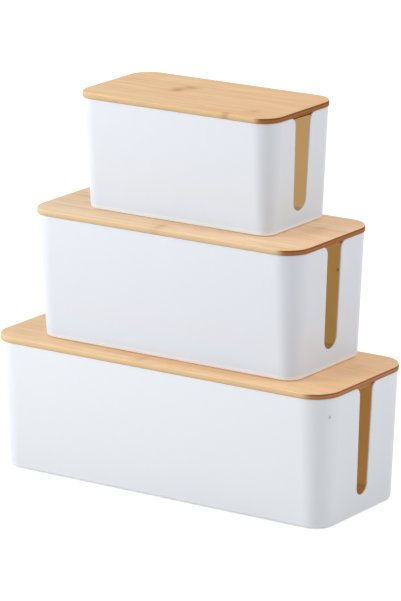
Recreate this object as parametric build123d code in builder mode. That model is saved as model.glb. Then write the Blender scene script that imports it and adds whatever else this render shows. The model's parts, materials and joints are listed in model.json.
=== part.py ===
"""A set of three cable management boxes, stacked small on medium on large.

Each box is a moulded plastic tub with a cable slot in both ends, a bamboo lid made of a board and
a locating panel glued under it, and four rubber feet in shallow seats. The boxes stand centred
along their length and flush at the back. X runs along the boxes, Y towards the back and Z up, and
the origin is on the table, under the middle of the large box.
"""
from build123d import *

import os
from dataclasses import dataclass
from math import radians, tan

# Outer sizes at the rim, in millimetres: length, width, height of the rim above what the box
# stands on, and the round of the upright corners.
LARGE_LENGTH = 400.0
LARGE_WIDTH = 150.0
LARGE_HEIGHT = 133.0
LARGE_CORNER = 27.5

MEDIUM_LENGTH = 318.0
MEDIUM_WIDTH = 137.0
MEDIUM_HEIGHT = 127.0
MEDIUM_CORNER = 24.0

SMALL_LENGTH = 231.0
SMALL_WIDTH = 115.0
SMALL_HEIGHT = 113.0
SMALL_CORNER = 20.5

# Cable slots: width under the lips, width at the foot, height of the sill above what the box
# stands on, and the round of the lips at the rim.
LARGE_SLOT_TOP = 22.5
LARGE_SLOT_FOOT = 18.0
LARGE_SLOT_SILL = 20.5
LARGE_SLOT_LIP = 9.0

MEDIUM_SLOT_TOP = 24.0
MEDIUM_SLOT_FOOT = 21.5
MEDIUM_SLOT_SILL = 20.5
MEDIUM_SLOT_LIP = 9.0

SMALL_SLOT_TOP = 26.0
SMALL_SLOT_FOOT = 21.0
SMALL_SLOT_SILL = 17.0
SMALL_SLOT_LIP = 9.0

# The tub's moulding.
WALL = 2.0
FLOOR = 3.0
DRAFT_ANGLE = 3.0
BASE_ROUND = 4.3
INSIDE_ROUND = 2.5
EDGE_ROUND = 0.7

# The lid.
BOARD_THICKNESS = 6.0
BOARD_OVERHANG = 0.9
BOARD_TOP_ROUND = 1.6
BOARD_UNDER_ROUND = 0.5
PANEL_THICKNESS = 4.0
PANEL_CLEARANCE = 1.0
PANEL_CHAMFER = 0.8

# The feet and their seats.
FOOT_DIAMETER = 14.0
FOOT_THICKNESS = 1.7
FOOT_PROUD = 0.5
FOOT_ROUND = 0.4
FOOT_INSET = 24.0
SEAT_CLEARANCE = 0.15

MEETING = 0.001


@dataclass
class BoxSize:
    """The sizes that differ from box to box."""

    name: str
    length: float
    width: float
    height: float
    corner: float
    slot_top: float
    slot_foot: float
    slot_sill: float
    slot_lip: float


LARGE = BoxSize(
    "large", LARGE_LENGTH, LARGE_WIDTH, LARGE_HEIGHT, LARGE_CORNER,
    LARGE_SLOT_TOP, LARGE_SLOT_FOOT, LARGE_SLOT_SILL, LARGE_SLOT_LIP,
)
MEDIUM = BoxSize(
    "medium", MEDIUM_LENGTH, MEDIUM_WIDTH, MEDIUM_HEIGHT, MEDIUM_CORNER,
    MEDIUM_SLOT_TOP, MEDIUM_SLOT_FOOT, MEDIUM_SLOT_SILL, MEDIUM_SLOT_LIP,
)
SMALL = BoxSize(
    "small", SMALL_LENGTH, SMALL_WIDTH, SMALL_HEIGHT, SMALL_CORNER,
    SMALL_SLOT_TOP, SMALL_SLOT_FOOT, SMALL_SLOT_SILL, SMALL_SLOT_LIP,
)


def section(box, height, skin):
    """The tub's rounded rectangle at a height, brought in by a skin from its outer face."""
    inset = (box.height - height) * tan(radians(DRAFT_ANGLE)) + skin
    return RectangleRounded(box.length - 2 * inset, box.width - 2 * inset, box.corner - inset)


def slot_profile(box):
    """One cable slot as seen from the end: tapered, round at the foot, with rounded lips."""
    half_top = box.slot_top / 2
    half_foot = box.slot_foot / 2
    mouth = box.slot_top + 2 * box.slot_lip
    rim = box.height
    Polygon(
        (-half_foot, box.slot_sill), (half_foot, box.slot_sill), (half_top, rim), (-half_top, rim),
        align=None,
    )
    with Locations((0, rim)):
        Rectangle(mouth + 2 * WALL, WALL, align=(Align.CENTER, Align.MIN))


def make_body(box, stand):
    """The moulded tub: shell, slots, rounded edges and seats for the feet."""
    side = Plane(stand.origin, x_dir=(0, 1, 0), z_dir=(1, 0, 0))
    with BuildPart() as body:
        with BuildSketch(stand.offset(FOOT_PROUD)):
            section(box, FOOT_PROUD, 0)
        with BuildSketch(stand.offset(box.height)):
            section(box, box.height, 0)
        loft()
        fillet(body.edges().group_by(Axis.Z)[0], BASE_ROUND)

        inside_floor = FOOT_PROUD + FLOOR
        with BuildSketch(stand.offset(inside_floor)):
            section(box, inside_floor, WALL)
        with BuildSketch(stand.offset(box.height)):
            section(box, box.height, WALL)
        loft(mode=Mode.SUBTRACT)
        floor_height = stand.origin.Z + inside_floor
        fillet(
            body.edges().filter_by_position(Axis.Z, floor_height - MEETING, floor_height + MEETING),
            INSIDE_ROUND,
        )

        with BuildSketch(side) as slot:
            slot_profile(box)
            fillet(slot.vertices().group_by(Axis.Y)[0], box.slot_foot / 2)
            half_top = box.slot_top / 2
            lips = [corner for corner in slot.vertices() if abs(abs(corner.X) - half_top) < MEETING]
            fillet(lips, box.slot_lip)
        extrude(amount=box.length, both=True, mode=Mode.SUBTRACT)
        fillet(rim_edges(body, box, stand), EDGE_ROUND)

        with BuildSketch(stand.offset(FOOT_PROUD)):
            with foot_places(box):
                Circle(FOOT_DIAMETER / 2 + SEAT_CLEARANCE)
        extrude(amount=FOOT_THICKNESS - FOOT_PROUD, mode=Mode.SUBTRACT)
    return body


def rim_edges(body, box, stand):
    """The edges along the rim and round the slots, inside and outside the wall."""
    rim = stand.origin.Z + box.height
    sill = stand.origin.Z + box.slot_sill
    mouth = box.slot_top / 2 + box.slot_lip + MEETING

    def on_rim(edge):
        return edge.bounding_box().min.Z > rim - MEETING

    def on_slot(edge):
        bounds = edge.bounding_box()
        reach = max(bounds.max.Y - stand.origin.Y, stand.origin.Y - bounds.min.Y)
        return bounds.min.Z > sill - MEETING and reach < mouth

    lengthwise = body.edges().filter_by(Axis.X)
    around = [edge for edge in body.edges() if edge not in lengthwise]
    long_rims = [edge for edge in lengthwise if on_rim(edge) and edge.length > box.corner]
    return long_rims + [edge for edge in around if on_rim(edge) or on_slot(edge)]


def foot_places(box):
    """Where the four feet sit, seen from above."""
    lean = (box.height - FOOT_PROUD) * tan(radians(DRAFT_ANGLE))
    across = 2 * (lean + FOOT_INSET)
    return GridLocations(box.length - across, box.width - across, 2, 2)


def make_board(box, stand):
    """The bamboo board that lies on the rim."""
    with BuildPart() as board:
        with BuildSketch(stand.offset(box.height)):
            section(box, box.height, -BOARD_OVERHANG)
        extrude(amount=BOARD_THICKNESS)
        fillet(board.edges().group_by(Axis.Z)[-1], BOARD_TOP_ROUND)
        fillet(board.edges().group_by(Axis.Z)[0], BOARD_UNDER_ROUND)
    return board


def make_panel(box, stand):
    """The panel under the board that drops inside the rim."""
    under = box.height - PANEL_THICKNESS
    with BuildPart() as panel:
        with BuildSketch(stand.offset(under)):
            section(box, under, WALL + PANEL_CLEARANCE)
        extrude(amount=PANEL_THICKNESS)
        chamfer(panel.edges().group_by(Axis.Z)[0], PANEL_CHAMFER)
    return panel


def make_foot(stand, place):
    """One rubber foot, standing proud of its seat."""
    with BuildPart() as foot:
        with BuildSketch(stand):
            with Locations(place):
                Circle(FOOT_DIAMETER / 2)
        extrude(amount=FOOT_THICKNESS)
        fillet(foot.edges().group_by(Axis.Z)[0], FOOT_ROUND)
    return foot


def write(piece, name):
    """Label a finished piece and write it as its own file."""
    piece.part.label = name
    export_step(piece.part, f"parts/{name}.step")


def build_box(box, stand):
    """Make and write every piece of one box."""
    write(make_body(box, stand), f"{box.name}_body")
    write(make_board(box, stand), f"{box.name}_lid_board")
    write(make_panel(box, stand), f"{box.name}_lid_panel")
    corners = ("front_left", "rear_left", "front_right", "rear_right")
    for corner, place in zip(corners, foot_places(box)):
        write(make_foot(stand, place.position), f"{box.name}_foot_{corner}")


os.makedirs("parts", exist_ok=True)

standing_height = 0.0
for box in (LARGE, MEDIUM, SMALL):
    back_shift = (LARGE.width - box.width) / 2
    build_box(box, Plane((0, back_shift, standing_height)))
    standing_height += box.height + BOARD_THICKNESS
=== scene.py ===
"""Finishes a stack of cable management boxes: white moulded tubs under laminated bamboo lids.

The tubs and the panels under the lids keep the shapes of the frame and get their finishes here.
The lid boards and the rubber feet are modelled here in full and ride on the same bodies.
"""
import json
import math

import bmesh
import bpy
from bpy.props import FloatProperty, FloatVectorProperty, IntProperty, PointerProperty
from mathutils import Color, Matrix, Vector

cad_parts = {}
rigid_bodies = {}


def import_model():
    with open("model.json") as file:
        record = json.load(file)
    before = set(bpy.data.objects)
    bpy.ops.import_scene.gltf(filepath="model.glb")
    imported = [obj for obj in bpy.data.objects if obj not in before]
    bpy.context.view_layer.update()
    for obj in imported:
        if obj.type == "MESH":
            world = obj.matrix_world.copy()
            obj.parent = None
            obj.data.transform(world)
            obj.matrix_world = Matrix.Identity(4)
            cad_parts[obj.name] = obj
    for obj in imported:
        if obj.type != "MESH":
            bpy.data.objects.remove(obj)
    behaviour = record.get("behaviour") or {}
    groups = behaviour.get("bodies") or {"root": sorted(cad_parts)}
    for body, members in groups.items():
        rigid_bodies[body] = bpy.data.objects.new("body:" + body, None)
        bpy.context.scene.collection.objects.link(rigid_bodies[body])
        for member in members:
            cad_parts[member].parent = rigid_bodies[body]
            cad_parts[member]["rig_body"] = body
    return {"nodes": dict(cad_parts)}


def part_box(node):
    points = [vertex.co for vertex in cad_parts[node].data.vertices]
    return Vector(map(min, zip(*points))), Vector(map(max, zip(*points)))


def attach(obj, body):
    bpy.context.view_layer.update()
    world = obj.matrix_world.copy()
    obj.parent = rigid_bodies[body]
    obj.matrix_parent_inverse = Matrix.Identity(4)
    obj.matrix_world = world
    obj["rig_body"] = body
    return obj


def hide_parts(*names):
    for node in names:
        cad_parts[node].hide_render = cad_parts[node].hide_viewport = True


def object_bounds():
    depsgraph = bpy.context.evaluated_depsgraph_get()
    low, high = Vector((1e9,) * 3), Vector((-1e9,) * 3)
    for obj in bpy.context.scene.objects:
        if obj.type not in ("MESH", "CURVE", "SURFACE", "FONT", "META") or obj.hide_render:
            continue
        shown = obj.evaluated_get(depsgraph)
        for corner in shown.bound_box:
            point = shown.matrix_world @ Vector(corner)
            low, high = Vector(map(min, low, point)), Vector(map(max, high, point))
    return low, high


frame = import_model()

bl_info = {
    "name": "Stacked cable boxes",
    "version": (1, 0, 0),
    "blender": (4, 5, 0),
    "location": "View3D > Sidebar > Cable boxes",
    "description": "Finishes a stack of cable management boxes and lights it for a picture",
    "category": "Add Mesh",
}

FRAME_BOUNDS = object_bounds()
BOXES = ("large", "medium", "small")
FOOT_PLACES = ("front_left", "rear_left", "front_right", "rear_right")
BLACK = (0.0, 0.0, 0.0)
WHITE = (1.0, 1.0, 1.0)

# The camera's picture in pixels, and its sensor in millimetres.
IMAGE_WIDTH = 401
IMAGE_HEIGHT = 601
SENSOR_WIDTH = 36.0

# The floor: its radius, the facets round it, and how far out its lift to white changes.
FLOOR_RADIUS = 12.0
FLOOR_STEPS = 96
FLOOR_LIFT_CHANGES = (0.8, 3.0)

# The softboxes: name, setting of the light, azimuth and elevation in degrees, and distance in
# metres. The spread is the side of a softbox as a share of its distance.
SOFTBOXES = (
    ("front softbox", "key", -46.0, 22.0, 2.5),
    ("right softbox", "fill", 105.0, 45.0, 4.0),
    ("top softbox", "top", 0.0, 88.0, 2.2),
)
SOFTBOX_SPREAD = 0.6

# The colour of the soft light that comes from all round.
SOFT_LIGHT_TINT = (0.97, 0.985, 1.0)

# The noises of the finishes: frequencies per metre along X, Y and Z, then detail and roughness.
PLASTIC_GRAIN = ((900.0, 900.0, 900.0), 2.0, 0.55)
PLASTIC_CLOUD = ((9.0, 9.0, 14.0), 2.0, 0.55)
WOOD_DRIFT = ((14.0, 30.0, 30.0), 2.0, 0.55)
WOOD_BANDS = ((6.0, 80.0, 80.0), 2.0, 0.55)
WOOD_STREAKS = ((20.0, 215.0, 215.0), 3.0, 0.65)
WOOD_FIBRES = ((40.0, 1500.0, 1500.0), 3.0, 0.60)
WOOD_BLUSH = ((5.0, 60.0, 60.0), 3.0, 0.55)
WOOD_PORES = ((60.0, 1700.0, 1700.0), 2.0, 0.55)
RUBBER_SPECKLE = ((2500.0, 2500.0, 2500.0), 2.0, 0.55)

# Shares of a moulding's tone: at its foot, painted shade, at its rim, painted light, and in the
# clouds. How strongly the clouds and the marks show, and how much the grain changes the roughness.
PAINTED_SHADE_AT_FOOT = 0.965
PAINTED_LIGHT_AT_RIM = 1.035
CLOUD_TONE = 0.84
CLOUD_SHARE = 0.12
MARK_SHARE = 0.85
GRAIN_ROUGHNESS = 0.10

# Shares of the lining's tone: where it is dim, where it is bright, and on the inside floor, painted
# shade.
LINING_DIM = 0.92
LINING_BRIGHT = 1.08
LINING_FLOOR_SHADE = 0.70

# Shares of a moulding's tone that its lowest edge glows with, on the table and on a lid.
GLOW_ON_TABLE = 0.12
GLOW_ON_LID = 0.50

# Where the plastic changes, in metres: above the foot, where the painted cool tint and the glows
# fade, above the inside floor, where the painted shade fades, and below the rim, where the inside
# glow fades into painted shade.
PAINTED_COOL_FOOT_FADES = (0.0, 0.040)
FOOT_GLOW_FADES = (0.0010, 0.0060)
FAINT_GLOW_FADES = (0.0060, 0.0350)
FLOOR_SHADE_FADES = (0.0004, 0.0035)
RIM_SHADE_FADES = (0.004, 0.012)

# What counts as the inside of a tub: the share of the wall's thickness that lies outside it, and
# the slack under the inside floor in metres.
WALL_SHARE = 0.8
FLOOR_SLACK = 0.0003

# Shares in red, green and blue of a lid's tone that its strips vary between, and of its blush.
PALE_STRIP = (1.08, 1.125, 1.20)
WARM_STRIP = (0.950, 0.880, 0.80)
ROSY_STRIP = (1.03, 0.88, 0.84)

# How strongly each part of the grain warms the face, and how much warmer and rosier painted shade
# makes it from the middle to the right-hand end.
STRIP_WEIGHT = 0.40
BAND_WEIGHT = 1.8
STREAK_WEIGHT = 2.5
FIBRE_WEIGHT = 0.9
PAINTED_WARM_SHADE_RIGHT = 0.22
PAINTED_ROSY_SHADE_RIGHT = 0.30

# The blush and the lines between strips: the range of noise over which each comes in, and how
# strongly it shows.
BLUSH_COMES = (0.42, 0.72)
BLUSH_SHARE = 0.8
LINE_COMES = (0.45, 0.70)
LINE_SHARE = 0.6

# How far the strips are shifted across, in strips, and half the width of the lines between them
# in metres.
STRIP_SHIFT = 0.02
LINE_HALF_WIDTH = 0.0006

# The glued seams between the plies: how far above and below the middle they lie, in thicknesses,
# half their width in metres, how strongly they show, and how much more so on the cut ends.
SEAM_LEVEL = 1 / 6
SEAM_HALF_WIDTH = 0.00018
SEAM_SHARE = 0.16
SEAM_MORE_ON_END = 0.34

# The growth nodes: how far their outlines wander along and across, in half sizes, and how strongly
# their own tone and the streaks show.
NODE_DRIFT_ALONG = 1.6
NODE_DRIFT_ACROSS = 2.0
NODE_TONE = 0.55
NODE_STREAKS = 0.9

# The rounding between the face and the edges carries a painted highlight: how far up the surface
# faces there, how wide that range is, how strongly it shows and its colour.
ARRIS_FACING = 0.70
ARRIS_RANGE = 0.22
ARRIS_HIGHLIGHT_SHARE = 0.40
ARRIS_HIGHLIGHT_TINT = (0.96, 0.70, 0.40)

# How far up a surface faces where the edges end and the face begins, and how far it faces right or
# left where the brown of the cut ends begins and where it is full. On the right it begins sooner:
# painted shade on the right-hand corners, on top of the cut ends' own brown.
EDGE_FACING = (0.40, 0.54)
RIGHT_END_SHADE_FACING = (0.02, 0.48)
LEFT_END_FACING = (0.78, 0.98)

# The long edges: how golden they are, shares of that gold, the lower two painted shade, how
# strongly streaks show, and where the painted shade low down ends, in thicknesses above the middle
# and above the underside.
GOLDEN_SHARE = 0.6
GOLD_PALE = 1.05
GOLD_DARK = 0.92
LOW_GOLD_SHADE = 0.84
LOWEST_GOLD_SHADE = 0.45
GOLD_STREAKS = 1.6
LOW_SHADE_ENDS = (-0.35, 0.20)
LOWEST_SHADE_ENDS = (0.06, 0.17)

# The cut ends: shares of their tone, how strongly the vessels show, and how far the core ply lies
# below the middle and spreads from there, and where the top ply begins above it, in thicknesses.
END_PALE = 1.05
END_DARK = 0.75
END_CORE = 1.45
END_TOP = 0.50
END_TOP_SHARE = 0.5
END_VESSELS = 2.2
CORE_BELOW_MIDDLE = 0.10
CORE_SPREAD = 0.17
TOP_PLY_BEGINS = (0.10, 0.20)

# Roughness of the sealed bamboo, how much the fibres and the cut ends change it, and how much of
# the bump the fibres and the streaks make.
SEALED_ROUGHNESS = 0.50
FIBRE_ROUGHNESS = 0.20
END_ROUGHNESS = 0.25
FIBRE_RELIEF = 0.6
STREAK_RELIEF = 0.4

# The rubber: shares of its tone, its roughness and how much the speckle changes that.
RUBBER_DARK = 0.85
RUBBER_PALE = 1.15
RUBBER_ROUGHNESS = 0.75
SPECKLE_ROUGHNESS = 0.2

# Where the flat faces of a board begin inside its rounds, and those of a foot, in rounds.
BOARD_UNDER_FLAT = 3.0
BOARD_TOP_FLAT = 1.3
FOOT_UNDER_FLAT = 3.0

# The underside of a foot, from its dished middle out past the ring groove: how far out in radii,
# and from there in ring widths, and how far up in depths of the groove.
FOOT_UNDERSIDE = (
    (0.02, 0.0, 0.6),
    (0.62, -2.0, 0.0),
    (0.62, -1.0, 0.0),
    (0.62, -0.6, 1.0),
    (0.62, -0.2, 1.0),
    (0.62, 0.0, 0.0),
)

# Where the growth nodes of the bamboo lie on each lid, in metres from the middle of the board:
# along, across, half length, half width and depth of tone.
GROWTH_NODES = {
    "small": (
        (-0.0345, 0.0020, 0.0065, 0.0080, 0.80),
        (-0.0270, 0.0150, 0.0085, 0.0065, 0.62),
        (0.0830, -0.0370, 0.0060, 0.0080, 0.36),
        (0.0649, -0.0580, 0.0042, 0.0040, 0.50),
        (-0.0950, 0.0201, 0.0220, 0.0007, 0.75),
        (-0.0600, 0.0201, 0.0150, 0.0006, 0.40),
    ),
    "medium": (
        (-0.0060, -0.0590, 0.0055, 0.0110, 0.42),
        (-0.1180, 0.0200, 0.0050, 0.0090, 0.25),
        (0.1280, 0.0220, 0.0050, 0.0090, 0.25),
    ),
    "large": (
        (-0.0200, -0.0660, 0.0050, 0.0080, 0.25),
        (0.1720, 0.0300, 0.0050, 0.0090, 0.14),
        (-0.1500, -0.0300, 0.0050, 0.0090, 0.25),
    ),
}

# Small marks that the mouldings carry: the face they are on, place, radius and colour.
MOULDING_MARKS = {
    "large": (("outside", 0.1962, -0.0594, 0.1142, 0.0014, (0.42, 0.43, 0.45)),),
    "medium": (("inside", 0.1202, 0.0706, 0.2195, 0.0016, (0.10, 0.06, 0.02)),),
    "small": (),
}


# ---------------------------------------------------------------- shader arithmetic


class Socket:
    """A value in a shader: arithmetic on it adds the Math nodes that work it out."""

    def __init__(self, nodes, output):
        self.nodes = nodes
        self.output = output

    def __getitem__(self, name):
        """Another output of the same node."""
        return Socket(self.nodes, self.output.node.outputs[name])

    def math(self, operation, *values):
        """One Math node on values or sockets."""
        return self.nodes.add("ShaderNodeMath", {"operation": operation}, dict(enumerate(values)))

    def __add__(self, other):
        return self.math("ADD", self, other)

    def __radd__(self, other):
        return self.math("ADD", other, self)

    def __sub__(self, other):
        return self.math("SUBTRACT", self, other)

    def __rsub__(self, other):
        return self.math("SUBTRACT", other, self)

    def __mul__(self, other):
        return self.math("MULTIPLY", self, other)

    def __rmul__(self, other):
        return self.math("MULTIPLY", other, self)

    def __truediv__(self, other):
        return self.math("DIVIDE", self, other)

    def __rtruediv__(self, other):
        return self.math("DIVIDE", other, self)

    def __neg__(self):
        return self.math("SUBTRACT", 0.0, self)

    def __abs__(self):
        return self.math("ABSOLUTE", self)

    def __gt__(self, other):
        return self.math("GREATER_THAN", self, other)

    def __lt__(self, other):
        return self.math("LESS_THAN", self, other)

    def at_least(self, other):
        """The larger of two values."""
        return self.math("MAXIMUM", self, other)

    def floor(self):
        return self.math("FLOOR", self)

    def fraction(self):
        return self.math("FRACT", self)

    def root(self):
        return self.math("SQRT", self)

    def bell(self):
        """A bell curve: 1 where the value is 0, and nearly 0 beyond 2."""
        return self.math("EXPONENT", self * self * -1.0)

    def ramp(self, low, high):
        """0 below low and 1 above high, with a smooth rise between."""
        values = {"Value": self, "From Min": low, "From Max": high}
        return self.nodes.add("ShaderNodeMapRange", {"interpolation_type": "SMOOTHSTEP"}, values)


class Nodes:
    """The nodes of one material or world."""

    def __init__(self, owner):
        owner.use_nodes = True
        self.tree = owner.node_tree
        self.tree.nodes.clear()

    def add(self, kind, settings=None, values=None, output=0):
        """Add a node: its settings first, then the values or links of its sockets."""
        made = self.tree.nodes.new(kind)
        for name, setting in (settings or {}).items():
            setattr(made, name, setting)
        for name, value in (values or {}).items():
            socket = made.inputs[name]
            if isinstance(value, Socket):
                self.tree.links.new(value.output, socket)
            elif socket.type == "RGBA":
                socket.default_value = (*value[:3], 1.0)
            else:
                socket.default_value = value
        return Socket(self, made.outputs[output]) if made.outputs else None

    def coordinates(self):
        """Where a point lies in its piece, and which way the surface faces there."""
        return self.add("ShaderNodeTexCoord")

    def axes(self, vector):
        """The three parts of a vector."""
        parts = self.add("ShaderNodeSeparateXYZ", None, {0: vector})
        return parts["X"], parts["Y"], parts["Z"]

    def noise(self, place, stretch, detail, roughness):
        """Noise over the piece, with its own frequency per metre along each axis."""
        scaled = self.add("ShaderNodeVectorMath", {"operation": "MULTIPLY"}, {0: place, 1: stretch})
        values = {"Vector": scaled, "Scale": 1.0, "Detail": detail, "Roughness": roughness}
        return self.add("ShaderNodeTexNoise", None, values)

    def chance(self, x, y):
        """A random number from 0 to 1, the same wherever x and y are the same."""
        corner = self.add("ShaderNodeCombineXYZ", None, {0: x, 1: y})
        return self.add("ShaderNodeTexWhiteNoise", None, {"Vector": corner})

    def blend(self, share, first, second):
        """A colour that goes from first to second as share goes from 0 to 1."""
        settings = {"data_type": "RGBA", "clamp_factor": True}
        return self.add("ShaderNodeMix", settings, {0: share, 6: first, 7: second}, output=2)

    def bump(self, height, distance, strength):
        """A normal that follows a height, whose full step is a distance in metres."""
        values = {"Height": height, "Distance": distance, "Strength": strength}
        return self.add("ShaderNodeBump", None, values)

    def surface(self, values):
        """End a material in one Principled surface."""
        principled = self.add("ShaderNodeBsdfPrincipled", None, values)
        self.add("ShaderNodeOutputMaterial", None, {"Surface": principled})


# ---------------------------------------------------------------- settings


def size_of(name, description, default):
    """A setting for a length in metres."""
    return FloatProperty(
        name=name, description=description, default=default, unit="LENGTH", precision=4
    )


def tint_of(name, description, default):
    """A setting for a colour."""
    return FloatVectorProperty(
        name=name, description=description, default=default, subtype="COLOR", size=3
    )


def share_of(name, description, default):
    """A setting for a share of 1."""
    return FloatProperty(name=name, description=description, default=default, subtype="FACTOR")


def angle_of(name, description, degrees):
    """A setting for an angle, with its default given in degrees."""
    default = math.radians(degrees)
    return FloatProperty(name=name, description=description, default=default, subtype="ANGLE")


class TubSettings(bpy.types.PropertyGroup):
    """The moulded tubs."""

    large_outside: tint_of("Large outside", "Outside of the large tub", (0.868, 0.891, 0.923))
    medium_outside: tint_of("Medium outside", "Outside of the medium tub", (0.830, 0.855, 0.915))
    small_outside: tint_of("Small outside", "Outside of the small tub", (0.830, 0.858, 0.910))
    # Foot is a painted cool tint against the warm light thrown up by the lid below; foot glow is
    # painted glow.
    foot: tint_of("Foot", "Colour of the upper mouldings near their foot", (0.798, 0.886, 0.990))
    foot_glow: tint_of("Foot glow", "Glow low down on the upper mouldings", (0.0, 0.020, 0.070))
    large_inside: tint_of("Large inside", "Inside of the large tub", (0.450, 0.265, 0.084))
    medium_inside: tint_of("Medium inside", "Inside of the medium tub", (0.450, 0.300, 0.102))
    small_inside: tint_of("Small inside", "Inside of the small tub", (0.570, 0.430, 0.222))
    # Painted glow: the inside shines with its own colour, standing in for light let through the
    # walls.
    glow: share_of("Glow", "Light let through to the inside", 0.42)
    roughness: share_of("Roughness", "Roughness of the satin face", 0.40)
    wall: size_of("Wall", "Thickness of the walls", 0.0020)
    floor: size_of("Floor", "Thickness of the floor", 0.0030)
    draft: angle_of("Draft", "Lean of the walls", 3.0)
    large_corner: size_of("Large corner", "Round of the large tub's upright corners", 0.0275)
    medium_corner: size_of("Medium corner", "Round of the medium tub's upright corners", 0.0240)
    small_corner: size_of("Small corner", "Round of the small tub's upright corners", 0.0205)


class LidSettings(bpy.types.PropertyGroup):
    """The bamboo boards and the panels under them."""

    large_face: tint_of("Large face", "Tone of the large lid", (0.845, 0.572, 0.320))
    medium_face: tint_of("Medium face", "Tone of the medium lid", (0.840, 0.608, 0.385))
    small_face: tint_of("Small face", "Tone of the small lid", (0.736, 0.480, 0.253))
    knot: tint_of("Knot", "Tone of the growth nodes", (0.44, 0.190, 0.035))
    golden: tint_of("Golden", "Tone of the long edges", (0.89, 0.640, 0.330))
    large_end: tint_of("Large end", "Tone of the large lid's cut ends", (0.430, 0.185, 0.070))
    medium_end: tint_of("Medium end", "Tone of the medium lid's cut ends", (0.370, 0.135, 0.035))
    small_end: tint_of("Small end", "Tone of the small lid's cut ends", (0.330, 0.120, 0.030))
    large_panel: tint_of("Large panel", "Cut ends of the large panel", (0.500, 0.200, 0.060))
    medium_panel: tint_of("Medium panel", "Cut ends of the medium panel", (0.500, 0.190, 0.050))
    # The small panel's cut ends carry painted shade, much darker than the other panels'.
    small_panel: tint_of("Small panel", "Cut ends of the small panel", (0.200, 0.062, 0.010))
    glue: tint_of("Glue", "Tone of the glue lines", (0.12, 0.040, 0.012))
    strip: size_of("Strip", "Width of a glued strip", 0.0205)
    top_round: size_of("Top round", "Round of the top edge", 0.0016)
    under_round: size_of("Under round", "Round of the bottom edge", 0.0005)
    groove: size_of("Groove", "Depth of the lines where the plies meet", 0.00008)
    corner_steps: IntProperty(name="Corner steps", description="Facets round a corner", default=20)


class FootSettings(bpy.types.PropertyGroup):
    """The rubber feet."""

    tint: tint_of("Rubber", "Colour of the rubber", (0.30, 0.31, 0.32))
    round: size_of("Round", "Round of the lower edge", 0.0004)
    ring: size_of("Ring", "Width of the moulded ring groove", 0.0008)
    steps: IntProperty(name="Steps", description="Facets round a foot", default=48)


class StageSettings(bpy.types.PropertyGroup):
    """The floor, the lights and the camera."""

    ambient: share_of("Ambient", "Soft light from all round", 0.37)
    key: share_of("Key", "Light of the front softbox", 0.630)
    fill: share_of("Fill", "Light of the right softbox", 0.35)
    top: share_of("Top", "Light of the top softbox", 0.20)
    floor_tone: share_of("Floor tone", "How much of its light the floor gives back", 0.70)
    floor_lift: share_of("Floor lift", "How far the floor is lifted to white for the eye", 0.60)
    far_lift: share_of("Far lift", "How far the floor is lifted away from the boxes", 0.80)
    azimuth: angle_of("Azimuth", "Camera's turn to the right", 35.19)
    elevation: angle_of("Elevation", "Camera's height angle", 15.38)
    roll: angle_of("Roll", "Camera's roll", -0.46)
    distance: size_of("Distance", "From the camera to the boxes", 4.2139)
    focal: FloatProperty(name="Focal length", description="Focal length in pixels", default=4278.3)
    aim_right: size_of("Aim right", "Aim point to the right of the middle", 0.00388)
    aim_up: size_of("Aim up", "Aim point above the table", 0.1862)


class CableBoxSettings(bpy.types.PropertyGroup):
    """All that a user may change."""

    tub: PointerProperty(type=TubSettings)
    lid: PointerProperty(type=LidSettings)
    foot: PointerProperty(type=FootSettings)
    stage: PointerProperty(type=StageSettings)


# ---------------------------------------------------------------- mesh making


def rounded_rectangle(half_x, half_y, radius, steps):
    """Points round a rectangle whose corners are arcs, anticlockwise from the right."""
    points = []
    for quarter in range(4):
        start = quarter * math.pi / 2
        centre_x = (half_x - radius) * (1 if quarter in (0, 3) else -1)
        centre_y = (half_y - radius) * (1 if quarter in (0, 1) else -1)
        for step in range(steps + 1):
            angle = start + step / steps * math.pi / 2
            x = centre_x + radius * math.cos(angle)
            y = centre_y + radius * math.sin(angle)
            points.append((x, y))
    return points


def stacked_rings(rings):
    """A closed mesh through rings of points, given from the bottom up, capped at both ends."""
    made = bmesh.new()
    loops = [[made.verts.new(point) for point in ring] for ring in rings]
    for lower, upper in zip(loops, loops[1:]):
        for index, corner in enumerate(lower):
            following = (index + 1) % len(lower)
            made.faces.new((corner, lower[following], upper[following], upper[index]))
    made.faces.new(reversed(loops[0]))
    made.faces.new(loops[-1])
    return made


def arc_profile(inset, height, radius, start, end, steps):
    """Points (inset, height) along an arc about a centre, with angles in degrees."""
    for step in range(steps + 1):
        angle = math.radians(start + (end - start) * step / steps)
        yield inset - radius * math.cos(angle), height + radius * math.sin(angle)


def lower_round(bottom, radius, steps):
    """Points (inset, height) of a rounded lower edge, from the bottom to the side."""
    return arc_profile(radius, bottom + radius, radius, start=-90, end=0, steps=steps)


def upper_round(top, radius, steps):
    """Points (inset, height) of a rounded upper edge, from the side to the top."""
    return arc_profile(radius, top - radius, radius, start=0, end=90, steps=steps)


def place_piece(name, made, node, material):
    """Turn a bmesh into the piece that stands for a node, on that node's body."""
    mesh = bpy.data.meshes.new(name)
    made.normal_update()
    made.to_mesh(mesh)
    made.free()
    mesh.polygons.foreach_set("use_smooth", [True] * len(mesh.polygons))
    piece = bpy.data.objects.new(name, mesh)
    bpy.context.scene.collection.objects.link(piece)
    weighted = piece.modifiers.new("Flat faces stay flat", "WEIGHTED_NORMAL")
    weighted.keep_sharp = True
    mesh.materials.append(material)
    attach(piece, frame["nodes"][node]["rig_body"])
    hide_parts(node)


# ---------------------------------------------------------------- finishes


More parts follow.
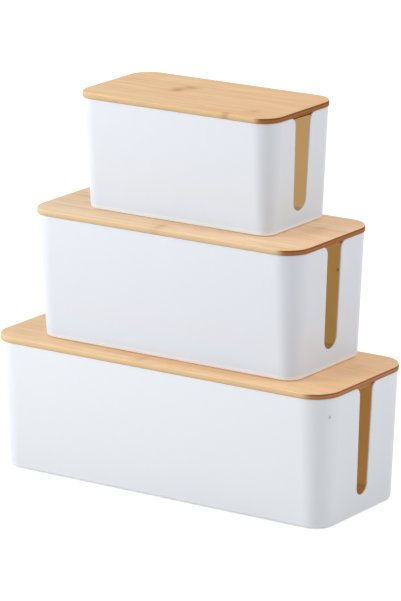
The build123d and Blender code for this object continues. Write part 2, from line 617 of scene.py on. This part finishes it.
def plastic(box, settings):
    """White satin moulding outside and a tan lining inside, with painted glow, light and shade."""
    lowest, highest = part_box(f"{box}_body")
    tone = getattr(settings, f"{box}_outside")
    lining = getattr(settings, f"{box}_inside")
    stands_on_lid = box != "large"
    material = bpy.data.materials.new(f"{box} tub plastic")
    nodes = Nodes(material)
    place = nodes.coordinates()["Object"]
    x, y, z = nodes.axes(place)
    above_foot = z - lowest.z
    above_floor = z - (lowest.z + settings.floor)
    past_wall = depth_in_tub(box, settings, x, y, z) > settings.wall * WALL_SHARE
    within = past_wall * (above_floor > -FLOOR_SLACK)
    # The inside glow fades out below the rim: painted shade under the lid.
    below_rim = (highest.z - z).ramp(*RIM_SHADE_FADES)
    grain = nodes.noise(place, *PLASTIC_GRAIN)
    cloud = nodes.noise(place, *PLASTIC_CLOUD)

    foot = settings.foot if stands_on_lid else tone
    height = highest.z - lowest.z
    # Painted shade towards the foot and painted light towards the rim.
    outside = nodes.blend(above_foot / height, tone * PAINTED_SHADE_AT_FOOT, tone * PAINTED_LIGHT_AT_RIM)
    # On upper tubs, a painted cool tint near the foot offsets the warm light thrown up by the lid.
    outside = nodes.blend(above_foot.ramp(*PAINTED_COOL_FOOT_FADES), foot * PAINTED_SHADE_AT_FOOT, outside)
    outside = nodes.blend((cloud - 0.5) * CLOUD_SHARE, outside, tone * CLOUD_TONE)
    inside = nodes.blend(cloud, lining * LINING_DIM, lining * LINING_BRIGHT)
    # Painted shade on the inside floor.
    inside = nodes.blend(above_floor.ramp(*FLOOR_SHADE_FADES), lining * LINING_FLOOR_SHADE, inside)
    faces = {"outside": outside, "inside": inside}
    for marked, mark_x, mark_y, mark_z, radius, tint in MOULDING_MARKS[box]:
        off_x, off_y, off_z = x - mark_x, y - mark_y, z - mark_z
        away = (off_x * off_x + off_y * off_y + off_z * off_z).root()
        faces[marked] = nodes.blend((away / radius).bell() * MARK_SHARE, faces[marked], tint)

    # Painted glow low down on the outside: at the foot, and faintly blue above it on upper tubs.
    edge_glow = tone * (GLOW_ON_LID if stands_on_lid else GLOW_ON_TABLE)
    faint_glow = settings.foot_glow if stands_on_lid else BLACK
    glow = nodes.blend(above_foot.ramp(*FAINT_GLOW_FADES), faint_glow, BLACK)
    glow = nodes.blend(above_foot.ramp(*FOOT_GLOW_FADES), edge_glow, glow)
    glow = nodes.blend(within, glow, BLACK)
    surface = {
        "Base Color": nodes.blend(within, faces["outside"], faces["inside"]),
        "Roughness": settings.roughness + (grain - 0.5) * GRAIN_ROUGHNESS,
        "IOR": 1.46,
        # Painted glow: the inside below the rim shines with its own colour, and the outside glows
        # low down.
        "Emission Color": nodes.blend(within * below_rim, glow, faces["inside"]),
        "Emission Strength": settings.glow,
        "Normal": nodes.bump(grain, distance=0.00003, strength=0.5),
    }
    nodes.surface(surface)
    return material


def depth_in_tub(box, settings, x, y, z):
    """How far a point lies inwards from the leaning outer face of a tub."""
    lowest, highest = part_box(f"{box}_body")
    middle = (lowest + highest) / 2
    half = (highest - lowest) / 2
    corner = getattr(settings, f"{box}_corner")
    lean = (highest.z - z) * math.tan(settings.draft)
    past_x = (abs(x - middle.x) - (half.x - corner)).at_least(0.0)
    past_y = (abs(y - middle.y) - (half.y - corner)).at_least(0.0)
    return corner - lean - (past_x * past_x + past_y * past_y).root()


def bamboo(name, node, settings, face, end, growth_nodes=()):
    """Sealed bamboo in glued strips along the length, darker at its cut ends, with painted
    highlight and shade.
    """
    material = bpy.data.materials.new(name)
    nodes = Nodes(material)
    wood = Wood(nodes, node, settings)
    # Painted highlight on the rounding between the face and the edges.
    arris_highlight = ((wood.facing_up - ARRIS_FACING) / ARRIS_RANGE).bell()
    colour = nodes.blend(arris_highlight * ARRIS_HIGHLIGHT_SHARE, wood.face(face), ARRIS_HIGHLIGHT_TINT)
    on_edge = 1.0 - wood.facing_up.ramp(*EDGE_FACING)
    colour = nodes.blend(on_edge, colour, wood.long_edge(face))
    for growth_node in growth_nodes:
        colour = nodes.blend(wood.growth_mark(*growth_node), colour, settings.knot)

    # The brown starts sooner on the right-hand corners: painted shade on top of the cut ends' own
    # brown.
    right_end_and_shade = wood.facing_right.ramp(*RIGHT_END_SHADE_FACING)
    left_end = (-wood.facing_right).ramp(*LEFT_END_FACING)
    on_end = on_edge * right_end_and_shade.at_least(left_end)
    colour = nodes.blend(on_end, colour, wood.cut_end(end))
    from_seam = (abs(wood.level) - SEAM_LEVEL) * wood.thickness
    seam = (from_seam / SEAM_HALF_WIDTH).bell() * on_edge
    seam = seam * (SEAM_SHARE + SEAM_MORE_ON_END * abs(wood.facing_right))
    roughness = SEALED_ROUGHNESS + (wood.fibres - 0.5) * FIBRE_ROUGHNESS + on_end * END_ROUGHNESS
    relief = wood.fibres * FIBRE_RELIEF + wood.streaks * STREAK_RELIEF
    surface = {
        "Base Color": nodes.blend(seam, colour, settings.glue),
        "Roughness": roughness,
        "IOR": 1.33,
        "Normal": nodes.bump(relief, distance=0.00006, strength=0.6),
    }
    nodes.surface(surface)
    return material


class Wood:
    """The grain of one bamboo board or panel, and the tones that are drawn with it."""

    def __init__(self, nodes, node, settings):
        lowest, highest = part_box(node)
        coordinates = nodes.coordinates()
        place = coordinates["Object"]
        self.nodes = nodes
        self.settings = settings
        self.middle = (lowest + highest) / 2
        self.thickness = highest.z - lowest.z
        self.x, self.y, z = nodes.axes(place)
        self.level = (z - self.middle.z) / self.thickness
        self.along = (self.x - self.middle.x) / (highest.x - self.middle.x)
        self.across = (self.y - self.middle.y) / settings.strip + STRIP_SHIFT
        self.facing_right, _, upwards = nodes.axes(coordinates["Normal"])
        self.facing_up = abs(upwards)
        self.strips = nodes.chance(self.across.floor(), highest.z)
        self.drift = nodes.noise(place, *WOOD_DRIFT) - 0.5
        self.bands = nodes.noise(place, *WOOD_BANDS)
        self.streaks = nodes.noise(place, *WOOD_STREAKS)
        self.fibres = nodes.noise(place, *WOOD_FIBRES)
        self.blush = nodes.noise(place, *WOOD_BLUSH)
        self.pores = nodes.noise(place, *WOOD_PORES)

    def face(self, tone):
        """Pale and warm strips side by side, rosy in places, with darker lines between them, and
        painted shade warming the right-hand end.
        """
        nodes = self.nodes
        grain = (
            (self.strips, STRIP_WEIGHT),
            (self.bands, BAND_WEIGHT),
            (self.streaks, STREAK_WEIGHT),
            (self.fibres, FIBRE_WEIGHT),
        )
        warmth = sum(((part - 0.5) * weight for part, weight in grain), 0.5)
        # Painted shade: warmer and rosier towards the right-hand end.
        warmth = warmth + self.along * PAINTED_WARM_SHADE_RIGHT
        blush = self.blush.ramp(*BLUSH_COMES) * BLUSH_SHARE + self.along * PAINTED_ROSY_SHADE_RIGHT
        from_line = (abs(self.across.fraction() - 0.5) - 0.5) * self.settings.strip
        line = (from_line / LINE_HALF_WIDTH).bell() * self.bands.ramp(*LINE_COMES) * LINE_SHARE
        colour = nodes.blend(warmth, shaded(tone, PALE_STRIP), shaded(tone, WARM_STRIP))
        colour = nodes.blend(blush, colour, shaded(tone, ROSY_STRIP))
        return nodes.blend(line, colour, self.settings.knot)

    def long_edge(self, tone):
        """Golden, with painted shade darker towards the bottom and darkest at the lower edge."""
        nodes = self.nodes
        gold = self.settings.golden * GOLDEN_SHARE + tone * (1 - GOLDEN_SHARE)
        shade = 0.5 + (self.streaks - 0.5) * GOLD_STREAKS + (self.fibres - 0.5)
        colour = nodes.blend(shade, gold * GOLD_PALE, gold * GOLD_DARK)
        colour = nodes.blend(self.level.ramp(*LOW_SHADE_ENDS), gold * LOW_GOLD_SHADE, colour)
        above_under = self.level + 0.5
        return nodes.blend(above_under.ramp(*LOWEST_SHADE_ENDS), gold * LOWEST_GOLD_SHADE, colour)

    def cut_end(self, tone):
        """Open vessels, with a pale core ply and a darker top ply."""
        nodes = self.nodes
        core = ((self.level + CORE_BELOW_MIDDLE) / CORE_SPREAD).bell()
        top_ply = self.level.ramp(*TOP_PLY_BEGINS) * END_TOP_SHARE
        vessels = (self.pores - 0.5) * END_VESSELS + 0.5
        colour = nodes.blend(vessels, tone * END_PALE, tone * END_DARK)
        colour = nodes.blend(core, colour, tone * END_CORE)
        return nodes.blend(top_ply, colour, tone * END_TOP)

    def growth_mark(self, along, across, half_length, half_width, depth):
        """How strongly a growth node shows: a streaky patch with a wandering outline."""
        off_x = (self.x - (self.middle.x + along)) / half_length + self.drift * NODE_DRIFT_ALONG
        off_y = (self.y - (self.middle.y + across)) / half_width - self.drift * NODE_DRIFT_ACROSS
        return off_x.bell() * off_y.bell() * (NODE_TONE + self.streaks * NODE_STREAKS) * depth


def shaded(tone, shares):
    """A tone with its red, green and blue each times a share."""
    return Color(part * share for part, share in zip(tone, shares))


def rubber(settings):
    """Matte moulded rubber."""
    material = bpy.data.materials.new("foot rubber")
    nodes = Nodes(material)
    speckle = nodes.noise(nodes.coordinates()["Object"], *RUBBER_SPECKLE)
    dark, pale = settings.tint * RUBBER_DARK, settings.tint * RUBBER_PALE
    surface = {
        "Base Color": nodes.blend(speckle, dark, pale),
        "Roughness": RUBBER_ROUGHNESS + (speckle - 0.5) * SPECKLE_ROUGHNESS,
        "Normal": nodes.bump(speckle, distance=0.00003, strength=0.6),
    }
    nodes.surface(surface)
    return material


def studio_white(stage):
    """A pale floor, lifted to white for the eye and in gloss, not in the light it gives back."""
    material = bpy.data.materials.new("studio floor")
    nodes = Nodes(material)
    x, y, _ = nodes.axes(nodes.coordinates()["Object"])
    far = (x * x + y * y).root().ramp(*FLOOR_LIFT_CHANGES)
    lift = nodes.blend(far, (stage.floor_lift,) * 3, (stage.far_lift,) * 3)
    surface = {
        "Base Color": (stage.floor_tone,) * 3,
        "Roughness": 0.9,
        "Emission Color": nodes.blend(seen_or_reflected(nodes), BLACK, lift),
        "Emission Strength": 1.0,
    }
    nodes.surface(surface)
    return material


def seen_or_reflected(nodes):
    """1 for what the eye sees, also in gloss and through glass, and 0 for light on the way."""
    rays = nodes.add("ShaderNodeLightPath")
    seen = rays["Is Camera Ray"].at_least(rays["Is Glossy Ray"])
    return seen.at_least(rays["Is Transmission Ray"])


# ---------------------------------------------------------------- operators


class CABLEBOX_OT_build_stage(bpy.types.Operator):
    """Lay the floor, hang the lights and set the camera"""

    bl_idname = "cablebox.build_stage"
    bl_label = "Build the stage"

    def execute(self, context):
        stage = context.scene.cable_boxes.stage
        self.floor(context, stage)
        self.world(context, stage)
        for name, setting, azimuth, elevation, distance in SOFTBOXES:
            self.softbox(context, name, getattr(stage, setting), azimuth, elevation, distance)
        self.camera(context, stage)
        context.scene.view_settings.view_transform = "Standard"
        return {"FINISHED"}

    @staticmethod
    def floor(context, stage):
        """A wide pale disc."""
        made = bmesh.new()
        bmesh.ops.create_circle(made, cap_ends=True, segments=FLOOR_STEPS, radius=FLOOR_RADIUS)
        mesh = bpy.data.meshes.new("studio floor")
        made.to_mesh(mesh)
        made.free()
        mesh.materials.append(studio_white(stage))
        floor = bpy.data.objects.new("studio floor", mesh)
        context.scene.collection.objects.link(floor)

    @staticmethod
    def world(context, stage):
        """Even soft light, with a white background behind it."""
        world = bpy.data.worlds.new("studio")
        context.scene.world = world
        nodes = Nodes(world)
        soft = {"Color": SOFT_LIGHT_TINT, "Strength": stage.ambient}
        white = {"Color": WHITE, "Strength": 1.0}
        either = {
            0: seen_or_reflected(nodes),
            1: nodes.add("ShaderNodeBackground", None, soft),
            2: nodes.add("ShaderNodeBackground", None, white),
        }
        mixed = nodes.add("ShaderNodeMixShader", None, either)
        nodes.add("ShaderNodeOutputWorld", None, {"Surface": mixed})

    @staticmethod
    def softbox(context, name, strength, azimuth, elevation, distance):
        """A square lamp that gives a facing white surface that share of plain white."""
        lamp = bpy.data.lights.new(name, "AREA")
        lamp.shape = "SQUARE"
        lamp.size = SOFTBOX_SPREAD * distance
        lamp.energy = strength * math.pi ** 2 * distance ** 2
        box = bpy.data.objects.new(name, lamp)
        context.scene.collection.objects.link(box)
        low, high = FRAME_BOUNDS
        back = direction(math.radians(azimuth), math.radians(elevation))
        box.location = (low + high) / 2 + back * distance
        box.rotation_euler = back.to_track_quat("Z", "Y").to_euler()

    @staticmethod
    def camera(context, stage):
        """A long lens, turned round the boxes and rolled a little."""
        lens = bpy.data.cameras.new("camera")
        lens.sensor_width = SENSOR_WIDTH
        lens.lens = stage.focal * SENSOR_WIDTH / max(IMAGE_WIDTH, IMAGE_HEIGHT)
        lens.clip_start = 0.1
        lens.clip_end = 60.0
        camera = bpy.data.objects.new("camera", lens)
        context.scene.collection.objects.link(camera)
        back = direction(stage.azimuth, stage.elevation)
        right = Vector((math.cos(stage.azimuth), math.sin(stage.azimuth), 0.0))
        aim = right * stage.aim_right + Vector((0.0, 0.0, stage.aim_up))
        up = back.cross(right)
        turn = Matrix((right, up, back)).transposed() @ Matrix.Rotation(stage.roll, 3, "Z")
        camera.matrix_world = Matrix.Translation(aim + back * stage.distance) @ turn.to_4x4()
        context.scene.camera = camera


def direction(azimuth, elevation):
    """From the boxes towards a place at that azimuth, from -Y towards +X, and elevation."""
    flat = math.cos(elevation)
    return Vector((math.sin(azimuth) * flat, -math.cos(azimuth) * flat, math.sin(elevation)))


class CABLEBOX_OT_finish_tubs(bpy.types.Operator):
    """Give each moulded tub its plastic"""

    bl_idname = "cablebox.finish_tubs"
    bl_label = "Finish the tubs"

    def execute(self, context):
        settings = context.scene.cable_boxes.tub
        for box in BOXES:
            tub = frame["nodes"][f"{box}_body"]
            tub.material_slots[0].material = plastic(box, settings)
        return {"FINISHED"}


class CABLEBOX_OT_build_boards(bpy.types.Operator):
    """Model the laminated boards that lie on the rims"""

    bl_idname = "cablebox.build_boards"
    bl_label = "Build the lid boards"

    def execute(self, context):
        lid = context.scene.cable_boxes.lid
        tub = context.scene.cable_boxes.tub
        for box in BOXES:
            node = f"{box}_lid_board"
            lowest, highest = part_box(node)
            overhang = highest.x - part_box(f"{box}_body")[1].x
            corner = getattr(tub, f"{box}_corner") + overhang
            face = getattr(lid, f"{box}_face")
            end = getattr(lid, f"{box}_end")
            finish = bamboo(f"{box} lid bamboo", node, lid, face, end, GROWTH_NODES[box])
            made = self.board(lowest, highest, corner, lid)
            place_piece(f"{box}_lid_bamboo_board", made, node, finish)
        return {"FINISHED"}

    @staticmethod
    def board(lowest, highest, corner, lid):
        """Three plies with fine lines between them, eased below and well rounded above."""
        middle = (lowest + highest) / 2
        half = (highest - lowest) / 2
        line = lid.groove
        profile = [(BOARD_UNDER_FLAT * lid.under_round, lowest.z)]
        profile += lower_round(lowest.z, lid.under_round, steps=4)
        for seam in (middle.z - half.z / 3, middle.z + half.z / 3):
            profile += [(0.0, seam - 2 * line), (line, seam), (0.0, seam + 2 * line)]
        profile += upper_round(highest.z, lid.top_round, steps=8)
        profile += [(BOARD_TOP_FLAT * lid.top_round, highest.z)]
        rings = []
        for inset, height in profile:
            sides = (half.x - inset, half.y - inset)
            outline = rounded_rectangle(*sides, corner - inset, lid.corner_steps)
            rings.append([(middle.x + x, middle.y + y, height) for x, y in outline])
        return stacked_rings(rings)


class CABLEBOX_OT_finish_panels(bpy.types.Operator):
    """Give the panels under the boards their bamboo"""

    bl_idname = "cablebox.finish_panels"
    bl_label = "Finish the lid panels"

    def execute(self, context):
        lid = context.scene.cable_boxes.lid
        for box in BOXES:
            node = f"{box}_lid_panel"
            face = getattr(lid, f"{box}_face")
            end = getattr(lid, f"{box}_panel")
            finish = bamboo(f"{box} panel bamboo", node, lid, face, end)
            frame["nodes"][node].material_slots[0].material = finish
        return {"FINISHED"}


class CABLEBOX_OT_build_feet(bpy.types.Operator):
    """Model the rubber feet with their moulded rings"""

    bl_idname = "cablebox.build_feet"
    bl_label = "Build the feet"

    def execute(self, context):
        foot = context.scene.cable_boxes.foot
        finish = rubber(foot)
        for box in BOXES:
            for place in FOOT_PLACES:
                node = f"{box}_foot_{place}"
                made = self.foot(*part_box(node), foot)
                place_piece(f"{box}_rubber_foot_{place}", made, node, finish)
        return {"FINISHED"}

    @staticmethod
    def foot(lowest, highest, foot):
        """A disc with a rounded lower edge, a ring groove and a shallow dished middle."""
        middle = (lowest + highest) / 2
        radius = (highest.x - lowest.x) / 2
        groove = foot.ring / 2
        profile = []
        for out, further, up in FOOT_UNDERSIDE:
            reach = out * radius + further * foot.ring
            profile.append((radius - reach, lowest.z + up * groove))
        profile += [(FOOT_UNDER_FLAT * foot.round, lowest.z)]
        profile += lower_round(lowest.z, foot.round, steps=5)
        profile += [(0.0, highest.z - foot.round / 2), (foot.round / 2, highest.z)]
        turns = [step * 2 * math.pi / foot.steps for step in range(foot.steps)]
        rings = []
        for inset, height in profile:
            reach = radius - inset
            around = [(reach * math.cos(turn), reach * math.sin(turn)) for turn in turns]
            rings.append([(middle.x + x, middle.y + y, height) for x, y in around])
        return stacked_rings(rings)


class CABLEBOX_PT_panel(bpy.types.Panel):
    """The settings and steps, in the 3D view's sidebar"""

    bl_idname = "CABLEBOX_PT_panel"
    bl_label = "Cable boxes"
    bl_space_type = "VIEW_3D"
    bl_region_type = "UI"
    bl_category = "Cable boxes"

    def draw(self, context):
        settings = context.scene.cable_boxes
        for group in CableBoxSettings.__annotations__:
            part = getattr(settings, group)
            column = self.layout.column(heading=group.title())
            for name in part.__annotations__:
                column.prop(part, name)
        for step in STEPS:
            self.layout.operator(step.bl_idname)


SETTINGS = (TubSettings, LidSettings, FootSettings, StageSettings, CableBoxSettings)
STEPS = (
    CABLEBOX_OT_build_stage,
    CABLEBOX_OT_finish_tubs,
    CABLEBOX_OT_build_boards,
    CABLEBOX_OT_finish_panels,
    CABLEBOX_OT_build_feet,
)


def register():
    """Add the settings, the steps and the panel."""
    for kind in (*SETTINGS, *STEPS, CABLEBOX_PT_panel):
        bpy.utils.register_class(kind)
    bpy.types.Scene.cable_boxes = PointerProperty(type=CableBoxSettings)


def unregister():
    """Take them away again."""
    del bpy.types.Scene.cable_boxes
    for kind in reversed((*SETTINGS, *STEPS, CABLEBOX_PT_panel)):
        bpy.utils.unregister_class(kind)


def main():
    """Run every step once."""
    register()
    bpy.ops.cablebox.build_stage()
    bpy.ops.cablebox.finish_tubs()
    bpy.ops.cablebox.build_boards()
    bpy.ops.cablebox.finish_panels()
    bpy.ops.cablebox.build_feet()


if __name__ == "__main__":
    main()
